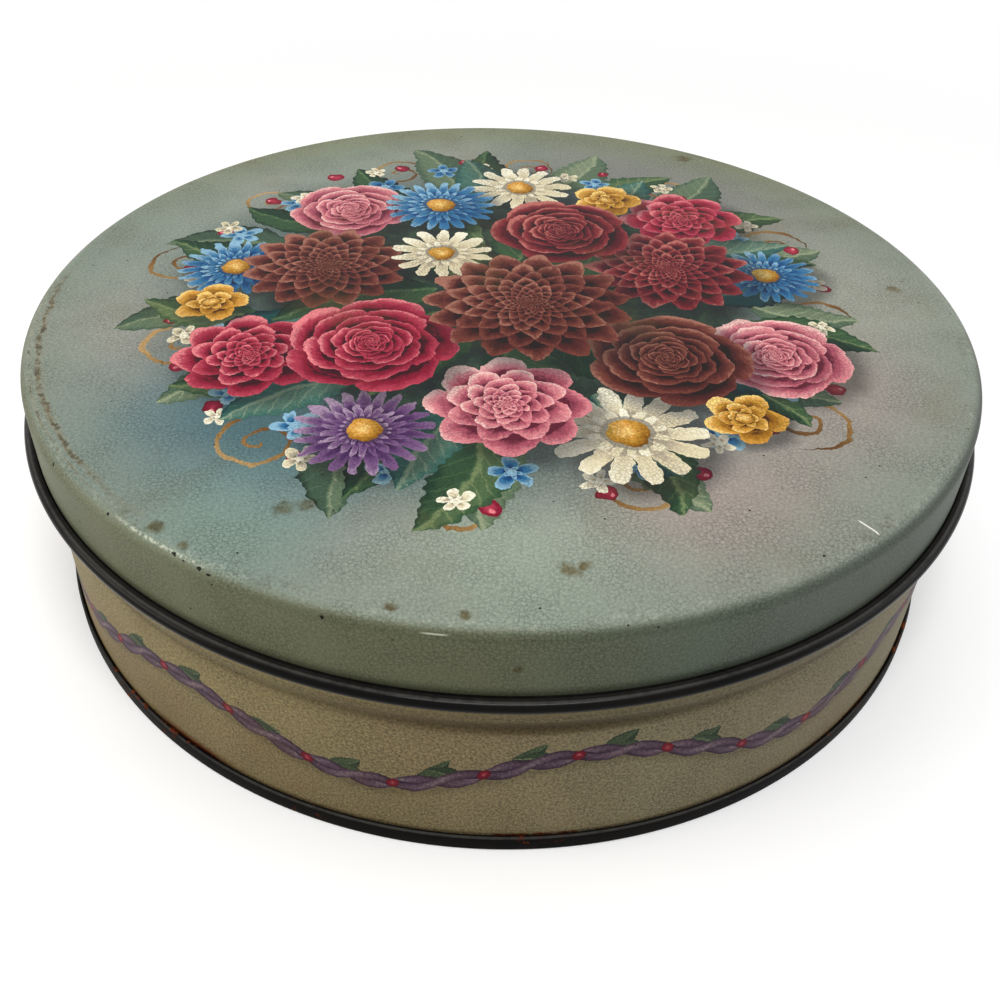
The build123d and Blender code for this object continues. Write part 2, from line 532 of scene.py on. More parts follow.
# What lies behind the flowers: radius, count, phase, stray, tilt, size, seed, then the motif's own sizes
POSY_RINGS = (
    (curl_ring, TENDRIL, (70.0, 12.0, 0.30, 5.0, 3.0, 8.0, 5.0)),
    (leaf_ring, LEAF_GREY, (54.0, 13.0, 0.10, 5.0, 0.7, 27.0, 1.0), 0.25, 0.10),
    (berry_ring, CRIMSON, (71.0, 23.0, 0.0, 6.0, 0.0, 1.9, 7.0)),
    (leaf_ring, LEAF_DARK, (50.0, 14.0, 0.45, 5.0, 0.8, 28.0, 2.0), 0.22, -0.12),
    (floret_ring, BLUE, (65.0, 19.0, 0.2, 7.0, 3.0, 4.6, 3.0)),
    (floret_ring, CREAM, (69.0, 17.0, 0.7, 8.0, 3.0, 3.4, 4.0)),
    (leaf_ring, LEAF_TEAL, (42.0, 11.0, 0.8, 5.0, 0.9, 28.0, 6.0), 0.24, 0.08),
    (leaf_ring, LEAF_DARK, (14.0, 11.0, 0.3, 4.0, 1.2, 34.0, 8.0), 0.26, 0.10),
)


def paint_posy(picture, place, speckle):
    """The round posy on the lid: leaves, sprigs and berries behind, flowers in front."""
    x, y, _ = parts(place)
    foliage = tint(noise(place, 5.0, 3.0, 0.65, sides=2), (0.3, (14, 26, 22)), (0.55, (34, 58, 44)), (0.75, (66, 92, 64)))
    picture = mix(ramp(length(place), 60.0, 46.0) * 0.9, picture, foliage)
    for ring, paints, sizes, *own_sizes in POSY_RINGS:
        picture = ring(picture, x, y, *sizes, *inks(paints), *own_sizes)
    return paint_flowers(picture, vector_of(x, y), x, y, speckle)


# ---------------------------------------------------------------- age and wear

@node_group("crackle", {"Place": NOWHERE, "Cell": 1.0}, {"Line": 0.0, "Cell tone": 0.0, "Height": 0.0})
def crackle(place, grain):
    """The fine net of cracks in old varnish: soft lines round small uneven cells, patchy in strength."""
    edge = cells(vector_calc("DIVIDE", wander(place, 0.9, 0.9, 1.0), vector_of(grain, grain, 1.0)), 1.0,
                 "DISTANCE_TO_EDGE")
    patch = ramp(noise(place, 12.0, 1.0, sides=2), 0.3, 0.7, 0.3, 1.0)
    line = ramp(edge, 0.22, 0.0) * patch
    tone = noise(place, 0.62, 2.0, 0.85, sides=2)
    return line, tone, 0.6 * tone - 0.5 * line


@node_group("grime", {"Place": NOWHERE}, {"Stain": 0.0, "Fleck": 0.0})
def grime(place):
    """Soft stains, and sparse dark flecks."""
    stain = ramp(noise(place, 26.0, 4.0, 0.6, sides=2), 0.52, 0.78)
    fleck = smaller(cells(place, 11.0), 0.018) * ramp(noise(place, 17.0, 1.0, sides=2), 0.54, 0.6)
    return stain, fleck


@node_group("rust", {"Place": NOWHERE, "Amount": 0.5}, {"Mask": 0.0, "Colour": [0.2, 0.1, 0.05, 1.0]})
def rust(place, amount):
    """Rust that breaks through a coat in ragged patches, the more the greater the amount."""
    ragged = noise(place, 3.2, 5.0, 0.68)
    mask = ramp(ragged + amount, 1.02, 1.14)
    fine = noise(place, 0.9, 2.0, 0.7)
    return mask, tint(fine, (0.25, (46, 20, 12)), (0.5, (98, 46, 24)), (0.75, (150, 84, 42)))


def spot_cones(place, spots):
    """Small marks on the flat map, 1 at their middles and 0 at their edges: each is x, y and radius."""
    marks = []
    for x, y, radius in spots:
        away = vector_calc("DISTANCE", place, (x, y, 0.0), result="Value")
        marks.append(1.0 - away * (1 / radius))
    return highest(0.0, *marks)


def flat_map(x, y, z, level):
    """The sheet laid flat: places below the level move outwards by as much, so no pattern stretches on a side."""
    spread = 1.0 + (level - z) / 100.0
    return vector_of(x * spread, y * spread)


def at(azimuth, way):
    """A point of the flat map at an azimuth in degrees, 0 at the front and growing to the right."""
    return way * sin(radians(azimuth)), -way * cos(radians(azimuth))


# ---------------------------------------------------------------- finishes

def start_finish(name, **constants):
    """A material with its shader's constant values, and the place on the object in millimetres."""
    material = bpy.data.materials.new(name)
    material.use_nodes = True
    tree = material.node_tree
    shader = tree.nodes["Principled BSDF"]
    for label, value in constants.items():
        shader.inputs[label.replace("_", " ")].default_value = value
    coordinates = out(tree.nodes.new("ShaderNodeTexCoord"), "Object")
    place = vector_calc("SCALE", coordinates, scale=METRE)
    return material, shader, place


def relief(shader, height, millimetres, strength=1.0):
    """Raises the surface by a height that goes from 0 to about 1."""
    bump = place_node(height.tree, "ShaderNodeBump",
                      {"Height": height, "Distance": millimetres / METRE, "Strength": strength})
    feed(shader.inputs["Normal"], out(bump))


def bearings(place):
    """Azimuth in degrees from the front, radius and height."""
    x, y, z = parts(place)
    azimuth = calc("ARCTAN2", x, 0.0 - y) * (180 / pi)
    radius = length(vector_of(x, y))
    return x, y, z, azimuth, radius


def lid_ground(x, y, azimuth, way, flat):
    """The lid's painted ground: soft clouds of grey-green, teal and warm grey, a greener edge and skirt, and painted
    shade towards the back, on the skirt's right side and under the shoulder.
    """
    drift = noise(flat, 55.0, 2.0, sides=2)
    ground = tint(drift, (0.3, (156, 168, 155)), (0.7, (173, 174, 164)))

    def cloud(picture, cx, cy, reach, colour, amount):
        away = reach_of((x - cx) / reach, (y - cy) / reach)
        return mix(ramp(away + 0.5 * (drift - 0.5), 1.0, 0.05) * amount, picture, ink(*colour))

    ground = cloud(ground, -44, -50, 52, (96, 134, 144), 0.9)
    ground = cloud(ground, -84, 24, 56, (148, 166, 154), 0.6)
    ground = cloud(ground, 46, 62, 74, (146, 146, 140), 0.85)
    ground = cloud(ground, 62, -34, 44, (182, 168, 162), 0.8)
    ground = cloud(ground, 36, -70, 36, (188, 170, 164), 0.75)
    ground = cloud(ground, 84, 4, 38, (180, 180, 168), 0.7)
    ground = cloud(ground, -46, -82, 28, (146, 176, 166), 0.6)
    ground = cloud(ground, 4, -90, 36, (176, 190, 174), 0.85)
    edge = ramp(way, 76.0, 100.0)
    ground = mix(edge * 0.5, ground, ink(144, 158, 144))
    # The back of the lid's edge is painted a darker olive: partly the print's own colour, partly painted shade where
    # the light falls off towards the back.
    back = ramp(y, 10.0, 90.0) * edge
    ground = mix(back * 0.7, ground, ink(142, 146, 110))
    # The skirt's tint round the lid, darkest towards the right: partly the print's colour, partly painted shade where
    # the light falls off on that side.
    skirt = tint(azimuth / 360.0 + 0.5, (0.0, (132, 130, 96)), (0.32, (144, 149, 124)), (0.40, (147, 151, 121)),
                 (0.50, (138, 142, 112)), (0.55, (124, 136, 118)), (0.60, (124, 134, 122)), (0.68, (108, 116, 108)),
                 (1.0, (132, 130, 96)))
    ground = mix(ramp(way, 97.8, 101.2) * 0.9, ground, skirt)
    # Painted shade in a band at the top of the skirt, just under the shoulder, weaker towards the left.
    shade_under_shoulder = between(way, 100.0, 102.4, 0.8) * ramp(azimuth, -48.0, -8.0, 0.08, 0.45)
    return mix(shade_under_shoulder, ground, ink(150, 150, 147), "MULTIPLY")


def make_lid_print():
    material, shader, place = start_finish("printed_lid", Specular_IOR_Level=0.09)
    x, y, z, azimuth, radius = bearings(place)
    flat = flat_map(x, y, z, TIN_TOP)
    way = length(flat)
    brushed = wander(flat, 5.0, 2.4, 3.0, 0.6)
    speckle = noise(flat, 0.9, 2.0, 0.7, sides=2)
    on_top = ramp(way, 99.0, 97.0)
    drift = noise(flat, 9.0, 2.0, sides=2)
    picture = lid_ground(x, y, azimuth, way, flat)
    bx, by, _ = parts(brushed)
    shadow = ramp(reach_of((bx + 4.0) / 78.0, (by + 2.0) / 78.0), 1.0, 0.72)
    picture = mix(shadow * on_top * 0.6, picture, ink(58, 92, 100))
    picture = paint_posy(picture, brushed, speckle)

    line, tone, height = crackle(flat, 0.85)
    picture = mix(line * 0.36, picture, ink(58, 66, 56), "MULTIPLY")
    picture = mix(0.6, picture, tint(tone, (0.3, (100, 100, 98)), (0.7, (158, 158, 154))), "OVERLAY")
    stain, fleck = grime(flat)
    picture = mix(stain * 0.2, picture, ink(104, 92, 62))

    ragged = noise(flat, 2.2, 4.0, 0.68, sides=2)
    wavy = way + (noise(flat, 7.0, 2.0, sides=2) - 0.5) * 1.6
    lines = highest(ramp(size_of(wavy - 96.2), 1.3, 0.0), ramp(size_of(wavy - 98.0), 0.7, 0.0) * 0.8)
    left_rub = (between(azimuth, -90, -44, 9.0)
                * ramp(0.5 * lines + 0.9 * ragged + 0.9 * speckle + 0.4 * drift, 1.42, 1.68))
    any_rub = ramp(noise(flat, 22.0, 2.0, sides=2), 0.55, 0.75) * ramp(size_of(way - 97.4), 2.4, 0.4)
    rubbed = highest(left_rub, any_rub * ramp(ragged, 0.44, 0.62) * 0.6)
    picture = mix(between(azimuth, -90, -40, 12.0) * lines * 0.3, picture, ink(138, 128, 98))
    picture = mix(rubbed * 0.8, picture, tint(ragged, (0.4, (112, 98, 68)), (0.62, (62, 50, 34))))
    # Pale marks on the shoulder, all in one pale ink: mottled wear along the ridge, a polished spot on the left and a
    # scuff low on the front. Each is partly wear and partly a painted highlight.
    ridge = ramp(size_of(way - 98.4), 1.8, 0.3)
    pale = ridge * ramp(noise(flat, 1.2, 3.0, 0.7, sides=2), 0.44, 0.7) * ramp(drift, 0.35, 0.65) * 0.22
    polish_and_highlight = between(azimuth, -38, -27, 2.0) * ramp(size_of(way - 99.2), 0.7, 0.05) * ramp(speckle, 0.4, 0.6) * 0.75
    scuff_highlight = between(azimuth, -5.6, -3.6, 0.5) * ramp(size_of(way - 101.1), 0.28, 0.08) * 0.7
    polish_and_highlight = highest(pale, polish_and_highlight, scuff_highlight)
    picture = mix(polish_and_highlight, picture, ink(206, 210, 190))

    stains = spot_cones(brushed, (
        (12.2, -86.1, 2.9), (14.6, -85.0, 1.8), (-34.3, -74.2, 3.2), (-31.0, -73.2, 2.6), at(-8.8, 96.6) + (1.6,),
        at(-2.2, 96.8) + (1.8,), at(2.5, 107.9) + (1.3,), at(-34.2, 96.8) + (2.6,), at(-30, 97.2) + (1.8,),
        at(148, 93.0) + (3.6,), at(95, 88.0) + (2.6,)))
    soaked = ramp(stains + 0.9 * ragged, 0.6, 1.25)
    picture = mix(soaked, picture, tint(ragged, (0.4, (214, 198, 176)), (0.66, (178, 156, 128))), "MULTIPLY")
    chips = spot_cones(flat, (
        at(-50.6, 101.0) + (0.8,), at(-39.6, 99.9) + (0.7,), at(-30.3, 99.4) + (1.0,), at(-29.0, 99.9) + (0.5,),
        at(-27.2, 100.0) + (0.8,), at(-26.0, 100.4) + (0.8,), at(-14.5, 101.4) + (0.9,), at(72.0, 101.0) + (0.8,),
        at(118.0, 100.4) + (1.0,), at(165.0, 101.2) + (0.8,), at(-120.0, 100.7) + (1.1,), (10.0, -70.0, 0.45),
        (52.5, -81.0, 0.5)))
    chips = highest(ramp(chips * 0.8 + speckle, 0.92, 1.0) * ramp(chips, 0.0, 0.1), fleck)
    picture = mix(chips, picture, ink(24, 22, 18))
    across = size_of(vector_calc("DOT_PRODUCT", flat, (0.774, 0.633, 0.0), result="Value") - 0.94)
    scratch = ramp(across, 0.24, 0.06) * ramp(vector_calc("DISTANCE", flat, (61.5, -73.7, 0.0), result="Value"), 2.4, 1.7)
    picture = mix(scratch, picture, ink(230, 228, 218))
    # Darker at the foot of the skirt, just above the curl: partly grime in the corner, partly painted shade.
    picture = mix(ramp(way, 111.6, 114.0) * 0.6, picture, ink(74, 72, 50), "MULTIPLY")
    feed(shader.inputs["Base Color"], picture)
    feed(shader.inputs["Roughness"], 0.42 + 0.14 * tone + 0.12 * stain - 0.14 * polish_and_highlight)
    relief(shader, height + 1.2 * (0.5 - chips), 0.02, 0.6)
    return material


VINE_REPEATS = 20.0


def make_wall_print():
    material, shader, place = start_finish("printed_wall", Specular_IOR_Level=0.09)
    x, y, z, azimuth, radius = bearings(place)
    flat = flat_map(x, y, z, 28.0)
    drift = noise(flat, 40.0, 3.0, sides=2)
    # The ground's tint round the wall, lightest at the front: print colour, lightened at the front as painted light to
    # make up for the dimmer light falling there.
    ground = tint(azimuth / 360.0 + 0.5, (0.0, (156, 144, 108)), (0.34, (186, 162, 112)), (0.50, (190, 174, 134)),
                  (0.55, (193, 182, 148)), (0.60, (183, 171, 138)), (0.70, (170, 158, 126)), (1.0, (156, 144, 108)))
    picture = mix(ramp(drift, 0.35, 0.7) * 0.3, ground, ink(156, 146, 104))
    on_left = between(azimuth, -62.0, -15.0, 12.0)
    picture = mix(on_left * ramp(z, 14.0, 28.0) * 0.45, picture, ink(206, 204, 148))
    picture = mix(on_left * ramp(z, 16.0, 6.0) * 0.3, picture, ink(150, 140, 104))
    turn = azimuth * (pi / 180)
    path = 19.5 + 4.6 * wave(turn * 8.0) + 1.3 * wave(turn * 3.0 + 1.0)
    slope = 0.37 * calc("COSINE", turn * 8.0)
    off = (z - path) / calc("SQRT", slope * slope + 1.0) + (noise(flat, 3.0, 2.0, sides=2) - 0.5) * 0.7
    beat = turn * (2 * VINE_REPEATS)
    shadow = ramp(size_of(off + 1.4), 3.0, 0.4)
    picture = mix(shadow * 0.4, picture, ink(96, 84, 56))
    room = pi * WALL_RADIUS / VINE_REPEATS
    for side in (1.0, -1.0):
        cell = turn * (VINE_REPEATS / pi) + 0.25 * side
        across = (fraction(cell) - 0.5) * room
        luck = chance(calc("FLOORED_MODULO", floor(cell), 2 * VINE_REPEATS), side + 2.0)
        tilt = side * (0.9 + 0.4 * luck)
        up = off - side * 0.8
        lean, ahead = wave(tilt), calc("COSINE", tilt)
        mask, tone = leaf((across * ahead - up * lean) / 7.4, (across * lean + up * ahead) / 7.4, 0.24, 0.08)
        picture = mix(mask, picture, tint(tone + 0.3 * (luck - 0.5), (0.0, (30, 42, 32)), (0.35, (58, 80, 58)),
                                          (0.7, (96, 116, 82)), (1.0, (160, 172, 132))))
    for side in (1.0, -1.0):
        strand = off - side * 1.05 * wave(beat)
        on_top = 0.5 + 0.5 * side * calc("COSINE", beat)
        body = 1.0 - strand * strand * 0.8
        tone = body * 0.5 + on_top * 0.32 + 0.3 * (noise(flat, 0.8, 1.0, sides=2) - 0.3)
        picture = mix(smaller(size_of(strand), 1.15), picture,
                      tint(tone, (0.0, (44, 24, 40)), (0.4, (86, 60, 84)), (0.75, (134, 108, 128)),
                           (1.0, (192, 170, 176))))
    away = reach_of((fraction(turn * (VINE_REPEATS / pi) + 0.5) - 0.5) * room, off)
    picture = mix(smaller(away, 1.2), picture, tint(1.0 - away * 0.7, (0.0, (84, 10, 28)), (0.6, (170, 26, 58)),
                                                    (1.0, (224, 116, 128))))

    line, tone, height = crackle(flat, 0.75)
    picture = mix(line * 0.36, picture, ink(70, 62, 44), "MULTIPLY")
    picture = mix(0.8, picture, tint(tone, (0.3, (84, 84, 84)), (0.7, (172, 170, 166))), "OVERLAY")
    stain, fleck = grime(flat)
    picture = mix(stain * 0.25, picture, ink(132, 100, 56))
    # Painted shade on the bead's lower flank, and a darker painted shadow band below the curl at the front.
    shade_under_bead = between(z, 32.2, 35.4, 0.9)
    picture = mix(shade_under_bead * 0.5, picture, ink(150, 138, 108), "MULTIPLY")
    shadow_below_curl = between(z, 31.2, 35.0, 0.7) * between(azimuth, -5.0, 18.0, 16.0)
    picture = mix(shadow_below_curl * 0.95, picture, ink(172, 160, 128), "MULTIPLY")
    # A painted highlight on the bead's upper flank, just under the curl.
    picture = mix(ramp(z, 36.1, 37.2) * ramp(z, 40.0, 39.0) * 0.3, picture, ink(226, 210, 166))
    picture = mix(fleck, picture, ink(40, 32, 24))
    near_foot = ramp(z, 5.2, 3.4)
    patches = ramp(noise(flat, 24.0, 1.0, sides=2), 0.46, 0.64)
    bleeding = between(azimuth, -39.0, -29.0, 4.0)
    rusted, rust_colour = rust(place, 0.12 + near_foot * (0.18 + 0.38 * highest(patches, bleeding)))
    picture = mix(rusted * near_foot, picture, rust_colour)
    picture = mix(bleeding * ramp(z, 6.2, 3.8), picture, ink(176, 112, 68), "MULTIPLY")
    # Darker just above the foot, in the crease: partly grime, partly painted shade.
    picture = mix(ramp(z, 4.4, 3.5) * 0.5, picture, ink(124, 104, 82), "MULTIPLY")
    feed(shader.inputs["Base Color"], picture)
    feed(shader.inputs["Roughness"], 0.44 + 0.16 * tone + 0.3 * rusted)
    relief(shader, height + 1.5 * rusted, 0.02, 0.6)
    return material


def make_black(name, rust_band, worn_highlight_band, gloss, roughness):
    """Black coat on a curl or the foot, scuffed, with a grey band along its crest that is rubbed paint and a painted
    highlight in one, and rusting where it is worn.
    """
    material, shader, place = start_finish(name, Specular_IOR_Level=gloss)
    x, y, z, azimuth, radius = bearings(place)
    streak = noise(vector_of(azimuth * 1.7, radius, z), 1.6, 4.0, 0.65)
    drift = noise(place, 18.0, 3.0)
    coat = tint(drift, (0.3, (13, 12, 12)), (0.7, (19, 17, 16)))
    coat = mix(ramp(streak, 0.56, 0.85) * 0.25, coat, ink(52, 42, 34))
    # The grey band is partly rubbed paint and partly a painted highlight.
    rubbed = worn_highlight_band(z, radius) * ramp(streak + 0.6 * drift, 0.2, 1.0)
    coat = mix(rubbed * 0.9, coat, ink(73, 72, 69))
    patches = ramp(noise(place, 26.0, 2.0), 0.44, 0.62)
    amount = 0.36 * rust_band(z, radius) * (0.35 + 0.65 * patches)
    rusted, rust_colour = rust(place, amount + 0.18)
    coat = mix(rusted, coat, rust_colour)
    feed(shader.inputs["Base Color"], coat)
    feed(shader.inputs["Roughness"], roughness + 0.1 * streak + 0.4 * rusted)
    relief(shader, 0.3 * noise(place, 0.7, 3.0) + rusted, 0.02, 0.4)
    return material


def make_tinplate(name):
    """Plain tinplate with a thin clear lacquer: rolling streaks, fine scratches and a few rust specks."""
    material, shader, place = start_finish(name, Specular_IOR_Level=0.5)
    x, y, z, azimuth, radius = bearings(place)
    streak = noise(vector_calc("MULTIPLY", place, (0.05, 1.0, 1.0)), 0.9, 4.0, 0.6)
    drift = noise(place, 30.0, 3.0, 0.6)
    metal = tint(drift, (0.3, (168, 160, 140)), (0.7, (190, 184, 166)))
    metal = mix(ramp(streak, 0.4, 0.8) * 0.25, metal, ink(142, 136, 120))
    stain, fleck = grime(flat_map(x, y, z, TIN_TOP))
    metal = mix(stain * 0.3, metal, ink(134, 112, 76))
    rusted, rust_colour = rust(place, 0.30 + 0.05 * drift)
    spots = highest(rusted, fleck)
    metal = mix(spots, metal, rust_colour)
    feed(shader.inputs["Base Color"], metal)
    feed(shader.inputs["Metallic"], 0.9 - 0.9 * spots)
    feed(shader.inputs["Roughness"], 0.26 + 0.2 * streak + 0.3 * spots + 0.1 * stain)
    relief(shader, streak + spots, 0.006, 0.5)
    return material


LID_PRINT = make_lid_print()
WALL_PRINT = make_wall_print()
# On the curl: rust on its underside, and a grey band along its upper crest that is a rubbed crest and a painted
# highlight in one. The paler inner side next to the skirt is painted light in the shaded crevice.
CURL_BLACK = make_black("curl_black", lambda z, radius: ramp(z, 40.2, 39.6) * 0.6,
                        lambda z, radius: highest(between(radius, 101.0, 101.45, 0.3), ramp(radius, 101.0, 100.6) * 0.3)
                        * ramp(z, 41.0, 41.6), 0.06, 0.14)
# On the foot: rust at the seam's edges and underneath, and a grey line along the top of the fold, partly wear and
# partly a painted highlight.
FOOT_BLACK = make_black("foot_black",
                        lambda z, radius: highest(ramp(z, 2.9, 3.5), ramp(z, 0.7, 0.1), ramp(radius, 99.7, 99.8) * 0.8,
                                                  ramp(radius, 97.0, 94.0) * 0.5),
                        lambda z, radius: between(z, 3.3, 3.7, 0.12) * ramp(radius, 99.35, 99.55) * 0.8, 0.02, 0.45)
TINPLATE = make_tinplate("tinplate")


# ---------------------------------------------------------------- sheet-metal shapes

def line(start, end, steps=1):
    return [(start[0] + (end[0] - start[0]) * i / steps, start[1] + (end[1] - start[1]) * i / steps)
            for i in range(steps + 1)]


def arc(centre, radius, start, end, steps):
    """Points of an arc from one angle to another, in degrees, anticlockwise from outwards."""
    return [(centre[0] + radius * cos(radians(start + (end - start) * i / steps)),
             centre[1] + radius * sin(radians(start + (end - start) * i / steps)))
            for i in range(steps + 1)]


# Each run of a face is its points, its finish on the first face and its finish on the second
def lid_face(inset):
    ceiling = TIN_TOP - SHEET + inset
    shoulder_start = LID_INNER_RADIUS - LID_SHOULDER
    skirt_top = TIN_TOP - SHEET - LID_SHOULDER
    skirt = LID_INNER_RADIUS + inset
    return [
        (line((0, ceiling), (shoulder_start, ceiling), 26), "inside", "outside"),
        (arc((shoulder_start, skirt_top), LID_SHOULDER + inset, 90, 0, 12), "inside", "outside"),
        (line((skirt, skirt_top), (skirt, BLACK_EDGE_LEVEL), 4), "inside", "outside"),
        (line((skirt, BLACK_EDGE_LEVEL), (skirt, LID_CURL_LEVEL)), "inside", "edge"),
        (arc((LID_INNER_RADIUS + LID_CURL_RADIUS, LID_CURL_LEVEL), LID_CURL_RADIUS - inset, 180, 485, 36),
         "edge", "edge"),
    ]


def wall_face(inset):
    slope = 2 * atan(BEAD_HEIGHT / BEAD_HALF_LENGTH)
    bend = BEAD_HALF_LENGTH / (2 * sin(slope))
    angle = slope * 180 / pi
    top, bottom = BEAD_CREST_LEVEL + BEAD_HALF_LENGTH, BEAD_CREST_LEVEL - BEAD_HALF_LENGTH
    radius = WALL_RADIUS - inset
    crest = (WALL_RADIUS + bend * (1 - 2 * cos(slope)), BEAD_CREST_LEVEL)
    fold = (WALL_RADIUS + HOOK_BEND, WALL_FOLD_LEVEL)
    return [
        (arc(RIM_CENTRE, RIM_RADIUS - inset, 305, 0, 32), "edge", "edge"),
        (line((radius, RIM_CENTRE[1]), (radius, SIDE_SEAM[1])), "outside", "inside"),
        (line((radius, SIDE_SEAM[1]), (radius, top), 2), "outside", "inside"),
        (arc((WALL_RADIUS + bend, top), bend + inset, 180, 180 + angle, 6), "outside", "inside"),
        (arc(crest, bend - inset, angle, -angle, 10), "outside", "inside"),
        (arc((WALL_RADIUS + bend, bottom), bend + inset, 180 - angle, 180, 6), "outside", "inside"),
        (line((radius, bottom), (radius, SIDE_SEAM[0]), 6), "outside", "inside"),
        (line((radius, SIDE_SEAM[0]), (radius, WALL_FOLD_LEVEL), 2), "outside", "inside"),
        (arc(fold, HOOK_BEND + inset, 180, 360, 10), "edge", "edge"),
        (line((fold[0] + HOOK_BEND + inset, WALL_FOLD_LEVEL), (fold[0] + HOOK_BEND + inset, WALL_HOOK_TOP)),
         "edge", "edge"),
    ]


def base_face(inset):
    slope = acos(1 - STEP_HEIGHT / (2 * STEP_BEND))
    angle = slope * 180 / pi
    step_start = LAND_END - LAND_WIDTH - 2 * STEP_BEND * sin(slope)
    land_start = LAND_END - LAND_WIDTH
    middle = BASE_RECESS + STEP_HEIGHT + inset
    chuck = LAND_END + CHUCK_CORNER + inset
    foot_start, foot_end = LAND_END + CHUCK_CORNER + SEAM_CORNER, FOOT_RADIUS - SEAM_CORNER
    fold_bend = HOOK_BEND + SHEET
    fold_centre = FOOT_RADIUS - fold_bend
    return [
        (line((0, middle), (step_start, middle), 20), "outside", "inside"),
        (arc((step_start, middle - inset - STEP_BEND), STEP_BEND + inset, 90, 90 - angle, 5), "outside", "inside"),
        (arc((land_start, BASE_RECESS + STEP_BEND), STEP_BEND - inset, 270 - angle, 270, 5), "outside", "inside"),
        (line((land_start, BASE_RECESS + inset), (LAND_END, BASE_RECESS + inset), 4), "outside", "inside"),
        (arc((LAND_END, BASE_RECESS - CHUCK_CORNER), CHUCK_CORNER + inset, 90, 0, 6), "outside", "inside"),
        (line((chuck, BASE_RECESS - CHUCK_CORNER), (chuck, SEAM_CORNER), 2), "outside", "inside"),
        (arc((foot_start, SEAM_CORNER), SEAM_CORNER - inset, 180, 270, 6), "outside", "inside"),
        (line((foot_start, inset), (foot_end, inset)), "outside", "inside"),
        (arc((foot_end, SEAM_CORNER), SEAM_CORNER - inset, 270, 360, 6), "outside", "inside"),
        (line((FOOT_RADIUS - inset, SEAM_CORNER), (FOOT_RADIUS - inset, BASE_FOLD_LEVEL), 2), "outside", "inside"),
        (arc((fold_centre, BASE_FOLD_LEVEL), fold_bend - inset, 0, 180, 12), "outside", "inside"),
        (line((fold_centre - fold_bend + inset, BASE_FOLD_LEVEL), (fold_centre - fold_bend + inset, BASE_HOOK_END)),
         "outside", "inside"),
    ]


FINISHES = ("outside", "edge", "inside")


def sheet_section(face):
    """The closed outline of a strip of sheet: its points, and the finish from each point to the next."""
    points, finishes = [], []

    def add(point, finish):
        if points and abs(points[-1][0] - point[0]) < 1e-6 and abs(points[-1][1] - point[1]) < 1e-6:
            finishes[-1] = finish
        else:
            points.append(point)
            finishes.append(finish)

    for run, first, _ in face(0):
        for point in run:
            add(point, first)
    for run, _, second in reversed(face(SHEET)):
        for point in reversed(run):
            add(point, second)
    first_back = face(SHEET)[-1]
    finishes[sum(1 for _ in points) - 1] = face(0)[0][1]
    return points, finishes, first_back


